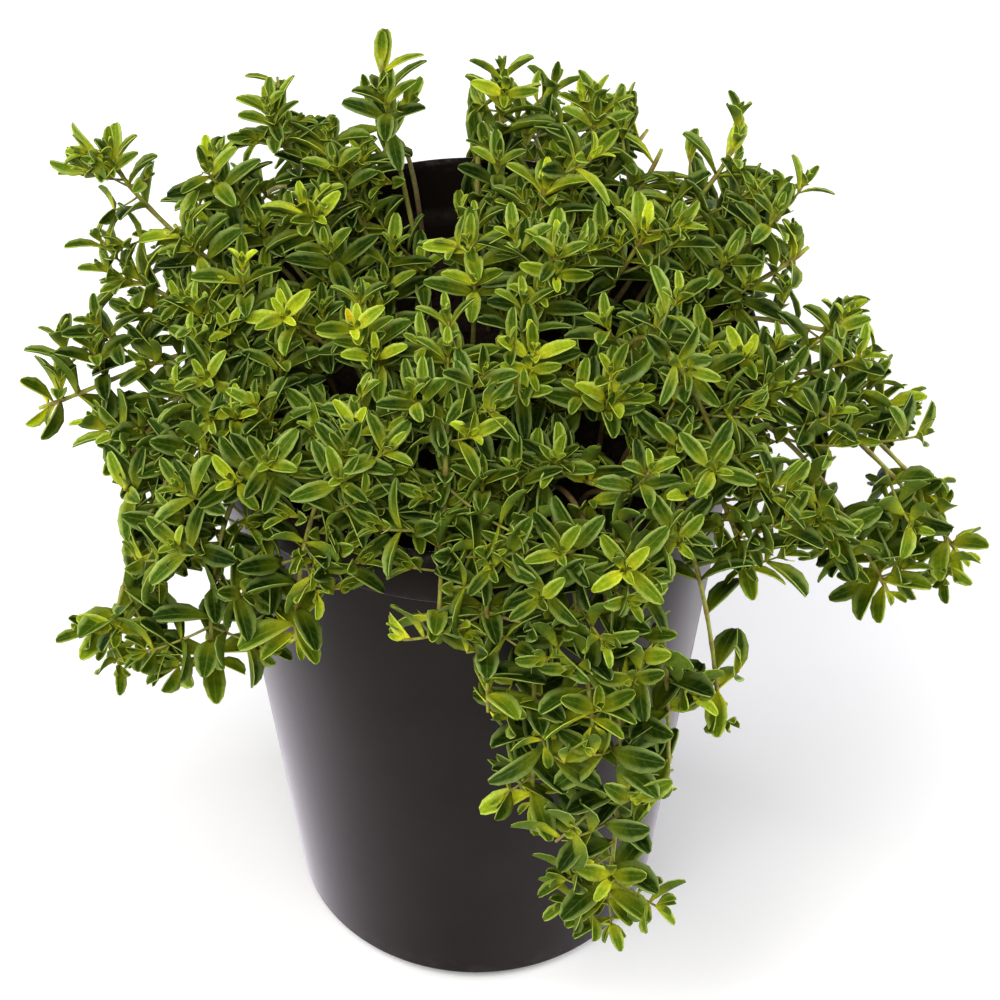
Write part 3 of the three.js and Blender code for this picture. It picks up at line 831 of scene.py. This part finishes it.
shoot = dict(
    # Leaves
    lengths=(5.6, 8.2, 9.8, 10.4, 10.4), angles=(28, 44, 56, 62, 66),
    spacing=(1.6, 2.6, 3.8, 4.7, 5.2), firstPair=0.3, bareShare=0.12, fewestLeaves=3,
    budLength=3.8, budAngle=12, youthFrom=0.5, freshChance=0.22, brightYouth=1.0,
    dullYouth=0.55,
    # Its own stem
    step=1.6, half=0.33, halfPerLength=0.009, taper=0.35, footShare=0.5, leans=(34, 56), lift=0.25,
    lightTurn=0.035, turnSpread=(0.5, 1.5), boxMargin=1, potMargin=1.2,
    # Tufts in the axils and longer shoots lower down, which come by chance
    seed=900, bareDrop=12, bareUntil=0.5, tuftChance=0.36, hangingTuftChance=0.25, hangingDrop=10,
    tuftShortest=3, tuftLongest=5, tuftPerPair=2.8, tuftPairEvery=3.6, tuftVigour=(0.75, 1.0),
    lowUntil=0.8, lowStep=7.0, lowChance=0.66, lowLengths=(8, 19), lowPairs=6, lowVigour=(0.9, 1.05),
    # Shoots that are aimed, and what share of its length each one tries
    starSeed=898, addedSeed=899, addedVigour=1.0, addedParts=(1, 0.75, 0.55), addedPairEvery=4,
    added=(  # on each stem: the share of its length, the way to point and the shoot's length
        ("front_left", (0.35, -0.1, -0.9, 0.5, 18), (0.45, 0.7, -0.6, 0.5, 18), (0.6, 0.8, -0.3, 0.6, 14)),
        ("low_front", (0.4, -0.7, -0.6, 0.5, 18), (0.6, -0.8, -0.4, 0.5, 16)),
        ("shoulder_front_west", (0.3, -0.2, -0.9, 0.5, 20), (0.5, 0.1, -0.9, 0.2, 18)),
        ("trail_left_c", (0.4, 0.3, -0.9, 0.5, 18)),
        ("shoulder_west_front", (0.4, -0.1, -0.9, 0.5, 18)),
        ("crown_left", (0.8, -0.8, -0.3, -0.5, 9), (0.86, 0.5, -0.3, 0.4, 8)),
        ("left_upper", (0.9, -1, 0, 0.3, 9), (0.7, -1, -0.3, 0.1, 13)),
        ("left_reach", (0.85, -0.3, 0.5, 0.7, 11), (0.75, -0.2, -0.3, 0.9, 12)),
        ("trail_left_a", (0.9, 0.5, -0.5, -0.7, 12)),
        ("trail_left_c", (0.85, -0.9, -0.3, -0.4, 14), (0.93, -0.8, -0.2, -0.5, 9),
         (0.85, 0.9, -0.3, -0.3, 12)),
        ("low_right", (0.7, 1, -0.3, 0.2, 15), (0.85, 0.9, -0.2, 0.5, 13)),
        ("trail_right_c", (0.75, -0.3, -0.9, 0.3, 14), (0.6, 0, -0.9, -0.2, 16)),
        ("trail_front_main", (0.93, -0.8, -0.4, -0.5, 10), (0.93, 0.8, -0.4, -0.4, 11),
         (0.87, -0.9, -0.4, -0.4, 11), (0.98, 0.1, -0.3, -1, 7), (0.6, -0.5, -0.8, 0.3, 12),
         (0.7, 0.3, -0.9, 0.2, 12), (0.78, -0.7, -0.7, 0, 12)),
        ("trail_front_mid", (0.8, 0.5, -0.8, 0.2, 12)),
        ("trail_left_c", (0.6, -0.6, -0.7, 0.3, 14), (0.7, 0.5, -0.8, 0.1, 14)),
        ("trail_left_a", (0.6, 0.4, -0.8, 0.3, 14)),
        ("trail_left_b", (0.7, -0.5, -0.7, 0.3, 12), (0.8, 0.6, -0.6, 0.2, 12)),
        ("trail_left_c", (0.5, -0.8, -0.4, 0.4, 14)),
        ("trail_left_b", (0.6, 0.6, -0.5, 0.3, 13)),
        ("left_mid", (0.8, 0.3, -0.8, -0.4, 14), (0.7, 0.3, -0.9, -0.2, 14)),
        ("trail_left_a", (0.75, -0.3, -0.8, 0.4, 11), (0.68, 0.7, -0.6, 0.3, 11)),
        ("shoulder_west_front", (0.7, -0.2, -0.9, -0.3, 14), (0.85, 0.2, -0.9, -0.5, 13)),
        ("trail_left_c", (0.42, 0.6, -0.7, 0.3, 14)),
        ("shoulder_west", (0.8, -0.3, -0.9, -0.2, 14)),
        ("left_mid", (0.55, 0.5, -0.8, 0.1, 14)),
        ("front_low", (0.3, -0.8, -0.3, 0.6, 12), (0.36, 0.7, -0.5, 0.6, 10), (0.42, -0.7, -0.5, 0.6, 12),
         (0.48, 0.8, -0.5, 0.4, 12)),
        ("low_front", (0.5, 0.3, -0.6, 0.7, 10), (0.7, -0.9, -0.5, -0.1, 14), (0.8, -0.5, -0.8, -0.4, 12)),
        ("shoulder_front_west", (0.7, -0.1, -0.9, -0.4, 16), (0.8, -0.6, -0.7, -0.5, 14)),
        ("front_left", (0.75, 0.9, -0.3, 0.3, 14), (0.8, 0.9, -0.4, -0.1, 12)),
        ("front_low", (0.75, -0.9, -0.4, 0.2, 14), (0.8, 0.8, -0.4, 0.3, 12)),
        ("low_front_east", (0.85, 0.6, -0.6, -0.6, 14)),
        ("hang_right", (0.7, 0.8, -0.2, 0.5, 14)),
        ("crown_left", (0.7, -0.7, -0.5, -0.1, 11), (0.9, -0.9, -0.2, 0.2, 8)),
    ),
)
# Spots that a shoot should reach, and openings between the sprays, both as seen from the front and
# above: across and up from "aim"
seen = dict(
    lean=(0.725, 0.688), reach=1000, aim=(5.4, -31.1),
    # Which stems may grow a shoot to a spot, and how far ahead of the stem and how long
    fillReach=(4, 24), fillNear=0.25, fillFrom=2, fillTries=60, fillStep=3, fillShort=3,
    fillShortest=5, fillAhead=3,
    fills=(
        (-52, -6), (-45, -4), (-36, -7), (-41, -12), (-29, -12), (-21, -14), (-12, 40), (48, 40),
        (10, 18), (-91, 24), (-88, 71), (-85, 55), (-87, 64), (-88, -28), (-78, -37), (-69, -36),
        (-75, 35), (69, 38), (72, 8), (93, 2), (62, -12), (47, -47), (-3, -47), (59, 42), (-8, 81),
        (-19, 82), (50, 80), (65, 67), (38, 77), (91, -19), (-24, 65), (56, 12), (-7, -32),
        (-17, -20), (-56, 3), (-63, -9), (-84, 31), (80, 33), (85, -14), (40, 56), (52, -34),
        (-52, 73), (20, 84), (-42, 78), (46, -5), (51, -9), (-15, 0), (-13, 8), (-13, -8),
    ),
    starAhead=9,
    stars=(  # bright rosettes that face the front
        (21, -44.5), (23, -80), (41, 2), (-30, 15.5), (-54, 16.5), (-31, 35), (-45, 37), (1, 83),
        (22, 71), (23, 27), (50, 29), (-4, 12), (-79, -28), (-38, 58), (12, 45),
    ),
    openings=(
        (-16, -7, 79, 95), (-20, -7, 74, 79), (-18, -8, 65, 74), (-20, -13, 60, 66), (-16, -9, 54, 61),
        (-43, -33, 80, 91), (-72, -63, 66, 91), (-63, -54, 76, 91), (-91, -83, 56, 67),
        (-75, -65, 56, 61), (28, 35, 75, 95), (43, 47, 69, 91), (52, 61, 70, 91),
        (62, 79, 42, 63), (77, 104, 33, 52), (80, 104, 25, 35), (90, 104, 7, 27),
        (94, 104, -5, 8), (35, 44, -26, -18), (50, 62, -46, -22), (31, 41, -77, -62),
        (-22, -8, -56, -29), (-9, -2, -62, -41), (-37, -24, -35, -19), (-104, -82, -12, 12),
        (-96, -83, -24, -12), (-20, -12, -22, -15), (15, 21, 12, 17), (-17, -13, 6, 11),
        (22, 31, 41, 45), (-9, 0, 32, 37), (-36, -29, 22, 27), (11, 21, 0, 5),
        (69, 76, -2, 11), (38, 54, -62, -49), (-69, -60, -21, -15), (-55, -41, 89, 98),
        (-35, -29, 85, 99), (-6, 8, 92, 98), (-86, -78, -19, 3),
        (-34, -26, 76, 80), (76, 89, 6, 11.5), (-46, -40, 44, 48), (21, 26, 10, 14),
        (30, 39, 68, 77), (36, 41, -33, -17), (36, 42, -61, -43),
    ),
)


def nearness(point):  # how far a point is towards the front and above
    back, high = seen["lean"]
    return back * (point.z - pot["height"]) - high * point.y


def inOpening(point):
    back, high = seen["lean"]
    depth = 1 - nearness(point) / seen["reach"]
    across = (point.x - seen["aim"][0]) / depth
    level = (back * point.y + high * (point.z - pot["height"]) - seen["aim"][1]) / depth
    return any(left < across < right and low < level < top for left, right, low, top in seen["openings"])


def seenSpot(across, level, near):  # the point that is seen there, at the given nearness
    back, high = seen["lean"]
    depth = 1 - near / seen["reach"]
    rise = seen["aim"][1] + level * depth
    x = seen["aim"][0] + across * depth
    return Vector((x, back * rise - high * near, pot["height"] + high * rise + back * near))


class Shoot:  # a stem with its leaves, as it grows
    made = 0

    def __init__(self, places, draw, sizes, angles, vigour, youthScale, youthFrom):
        Shoot.made += 1
        self.places = places
        self.youthFrom = youthFrom
        self.leaves = []
        for place in places:
            if place.pair is None:
                continue
            rank = min(place.pair, len(sizes) - 1)
            for face in place.pairFaces():
                angle = angles[rank] + between(draw, -leaf["angleSpread"], leaf["angleSpread"])
                sway = between(draw, -leaf["swaySpread"], leaf["swaySpread"])
                length = sizes[rank] * between(draw, leaf["shortest"], leaf["longest"]) * vigour
                blade = placeBlade(place, face, angle, sway, length, Shoot.made)
                if blade:
                    blade.youth = leaf["youth"][min(place.pair, len(leaf["youth"]) - 1)] * youthScale
                    self.leaves.append(blade)
        for face in (1, 3):
            bud = Blade(places[-1], face, shoot["budAngle"], 0, shoot["budLength"] * vigour)
            if bud.isClear(Shoot.made, 0):
                bud.youth = (1 + youthScale) / 2
                bud.form = budForm
                self.leaves.append(bud)

    def addTo(self, whole):  # each stem is made in a small mesh of its own, which is quicker
        bm = bmesh.new()
        mark = bm.verts.layers.float_color.new("leafPlace")
        addStemMesh(bm, mark, self.places, self.youthFrom)
        for blade in self.leaves:
            addBladeMesh(bm, mark, blade)
        bmesh.ops.scale(bm, vec=(millimetre,) * 3, verts=bm.verts)
        for face in bm.faces:
            face.smooth = True
        mesh = meshFrom("shoot", bm)
        whole.from_mesh(mesh)
        bpy.data.meshes.remove(mesh)


def sideShoot(place, outward, direction, length, pairs, draw, vigour, youthScale):
    start = place.centre + outward * place.half * shoot["footShare"]
    turn = shoot["lightTurn"] * between(draw, *shoot["turnSpread"])
    half = shoot["half"] + shoot["halfPerLength"] * length
    places = shootPlaces(start, direction, place.tangent.cross(outward), length, half, turn, pairs)
    for point in (spot.centre for spot in places[1:]):
        free = inBox(point, shoot["boxMargin"]) and clearOfPot(point, shoot["potMargin"])
        if not free or inOpening(point):
            return []
    grown = Shoot(places, draw, shoot["lengths"], shoot["angles"], vigour, youthScale, shoot["youthFrom"])
    return [grown] if len(grown.leaves) >= shoot["fewestLeaves"] else []


# A shoot that leans out of its stem. A few of these are as bright as the growing tips.
def leaningShoot(place, outward, length, pairs, draw, vigour):
    youthScale = shoot["brightYouth" if next(draw) < shoot["freshChance"] else "dullYouth"]
    lean = math.radians(between(draw, *shoot["leans"]))
    direction = outward * math.sin(lean) + place.tangent * math.cos(lean) + up * shoot["lift"]
    return sideShoot(place, outward, direction, length, pairs, draw, vigour, youthScale)


def sideShoots(number, route, places):  # tufts in the axils, and longer shoots lower on the stem
    draw = seededDraws(shoot["seed"] + number)
    grown = []
    lastLow = 0
    for i, place in enumerate(places):
        height = place.centre.z - pot["height"]
        if height < -shoot["bareDrop"] and place.share < shoot["bareUntil"]:
            continue
        if place.pair is not None and place.pair > 0:
            chance = shoot["hangingTuftChance" if height < -shoot["hangingDrop"] else "tuftChance"]
            for face in place.pairFaces():
                if next(draw) < chance:
                    longest = shoot["tuftLongest"] + shoot["tuftPerPair"] * place.pair
                    length = between(draw, shoot["tuftShortest"], longest)
                    vigour = between(draw, *shoot["tuftVigour"])
                    pairs = 1 + int(length / shoot["tuftPairEvery"])
                    grown += leaningShoot(place, place.turns()[face], length, pairs, draw, vigour)
        elif place.pair is None and place.share < shoot["lowUntil"]:
            if (place.share - lastLow) * route.length < shoot["lowStep"]:
                continue
            lastLow = place.share
            for face in (i % 4, (i + 2) % 4):
                if next(draw) < shoot["lowChance"]:
                    length = between(draw, *shoot["lowLengths"])
                    vigour = between(draw, *shoot["lowVigour"])
                    pairs = shoot["lowPairs"]
                    grown += leaningShoot(place, place.turns()[face], length, pairs, draw, vigour)
    return grown


def aimedShoot(place, direction, length, youth, draw):  # a shoot that points a given way
    direction = direction.normalized()
    outward = (direction - place.tangent * direction.dot(place.tangent)).normalized()
    vigour = shoot["addedVigour"]
    for part in shoot["addedParts"]:
        pairs = 1 + int(length * part / shoot["addedPairEvery"])
        grown = sideShoot(place, outward, direction, length * part, pairs, draw, vigour, youth)
        if grown:
            return grown
    return []


def fillShoot(across, level, ahead, youth, draw):  # the nearest stem that can grows a shoot to the spot
    options = []
    shortest, longest = seen["fillReach"]
    for number, shoots in enumerate(sprigs):
        for place in shoots[0].places[seen["fillFrom"]:]:
            near = nearness(place.centre)
            gap = seenSpot(across, level, near + ahead) - place.centre
            if shortest < gap.length < longest:
                options.append((gap.length - near * seen["fillNear"], number, place, gap))
    options.sort(key=lambda option: option[0])
    for option in options[:seen["fillTries"]:seen["fillStep"]]:
        number, place, gap = option[1:]
        length = max(seen["fillShortest"], gap.length - seen["fillShort"])
        grown = aimedShoot(place, gap, length, youth, draw)
        if grown:
            sprigs[number] += grown
            return


print("stage: thyme")
sprigTips = {**shownTips, **farSideTips()}
roots = spreadRoots(list(sprigTips.values()))
routes = [stemRoute(root, tip) for root, tip in zip(roots, sprigTips.values())]
noOwner, noPair = -1, -9  # every leaf keeps clear of the main stems
for route in routes:
    for i in range(int(route.length / stem["ballStep"]) + 1):
        point = route.pointAt(min(1, i * stem["ballStep"] / route.length))
        room.add(point, stem["ball"], noOwner, noPair)
sprigs = []
for number, route in enumerate(routes):
    draw = seededDraws(number + 1)
    main = Shoot(mainPlaces(route), draw, leaf["lengths"], leaf["angles"],
                 vigour=1.0, youthScale=1.0, youthFrom=stem["youthFrom"])
    sprigs.append([main])
draw = seededDraws(shoot["starSeed"])
for across, level in seen["stars"]:
    fillShoot(across, level, seen["starAhead"], shoot["brightYouth"], draw)
draw = seededDraws(shoot["addedSeed"])
for name, *rows in shoot["added"]:
    sprig = sprigs[list(sprigTips).index(name)]
    for share, x, y, z, length in rows:
        place = min(sprig[0].places, key=lambda spot: abs(spot.share - share))
        sprig += aimedShoot(place, Vector((x, y, z)), length, shoot["dullYouth"], draw)
for across, level in seen["fills"]:
    fillShoot(across, level, seen["fillAhead"], shoot["dullYouth"], draw)
for number, route in enumerate(routes):
    sprigs[number] += sideShoots(number, route, sprigs[number][0].places)
for blade in (blade for shoots in sprigs for grown in shoots for blade in grown.leaves):
    deep = min(1, room.ballsAbove(blade.spot(leaf["deepAt"], 0)) / leaf["deepBalls"])
    blade.tint *= 1 - leaf["deepShade"] * deep  # painted shade: a leaf with much leaf above it gets a lower tint and is darkened
bladeCounts = [len(grown.leaves) for shoots in sprigs for grown in shoots]
print("stage: thyme has", sum(bladeCounts), "blades on", len(bladeCounts), "shoots")
thymeMaterials = [makeLeafMaterial(), makeStemMaterial()]
for name, shoots in zip(sprigTips, sprigs):
    whole = bmesh.new()
    whole.verts.layers.float_color.new("leafPlace")
    for grown in shoots:
        grown.addTo(whole)
    finishPiece(f"sprig_{name}_leafy", whole, thymeMaterials, f"sprig_{name}")

# Floor, lights and camera
studio = dict(
    floorSize=6.0, floorTones=((0.0, (0.93, 0.93, 0.92)), (1.0, (0.95, 0.95, 0.94))),
    floorRoughness=0.8, floorGlow=0.12, worldColour=(0.98, 0.98, 0.97), worldStrength=0.26,
    lights=(
        ("key", (-0.25, -0.72, 1.38), 0.9, 18.8, (1.0, 0.985, 0.95)),
        ("right card", (1.0, 0.1, 0.45), 0.7, 10.0, (0.93, 0.92, 1.0)),
        ("left card", (-1.0, 0.2, 0.45), 0.7, 8.8, (0.95, 0.94, 1.0)),
    ),
    aim=(0.0, 0.0, 0.13), cameraPlace=(0.005383, -0.710882, 0.863997), cameraTilt=43.5,
    cameraAngle=11.82, clipStart=0.05,
)


def makeFloor():
    bm = bmesh.new()
    bmesh.ops.create_grid(bm, x_segments=1, y_segments=1, size=studio["floorSize"] / 2)
    floor = newObject("floor", meshFrom("floor", bm))
    shading = Shading("floor", Roughness=studio["floorRoughness"], Emission_Color=(1, 1, 1),
                      Emission_Strength=studio["floorGlow"])
    grain = shading.grain(Scale=3.0, Detail=2.0)
    floor.data.materials.append(shading.finished(shading.ramp(grain["Mask"], studio["floorTones"])))


def makeLights():
    for name, place, size, power, colour in studio["lights"]:
        data = bpy.data.lights.new(name, "AREA")
        data.shape = "SQUARE"
        data.size = size
        data.energy = power
        data.color = colour
        lamp = newObject(name, data)
        lamp.location = place
        lamp.rotation_euler = (Vector(studio["aim"]) - Vector(place)).to_track_quat("-Z", "Y").to_euler()
    world = bpy.data.worlds.new("studio")
    world.use_nodes = True
    background = world.node_tree.nodes["Background"]
    background.inputs["Color"].default_value = (*studio["worldColour"], 1)
    background.inputs["Strength"].default_value = studio["worldStrength"]
    bpy.context.scene.world = world


def makeCamera():
    view = bpy.data.cameras.new("camera")
    view.angle = math.radians(studio["cameraAngle"])
    view.clip_start = studio["clipStart"]
    camera = newObject("camera", view)
    camera.location = studio["cameraPlace"]
    camera.rotation_euler = (math.radians(studio["cameraTilt"]), 0, 0)
    bpy.context.scene.camera = camera
    bpy.context.scene.view_settings.view_transform = "Standard"


print("stage: studio")
makeFloor()
makeLights()
makeCamera()

bpy.context.view_layer.update()
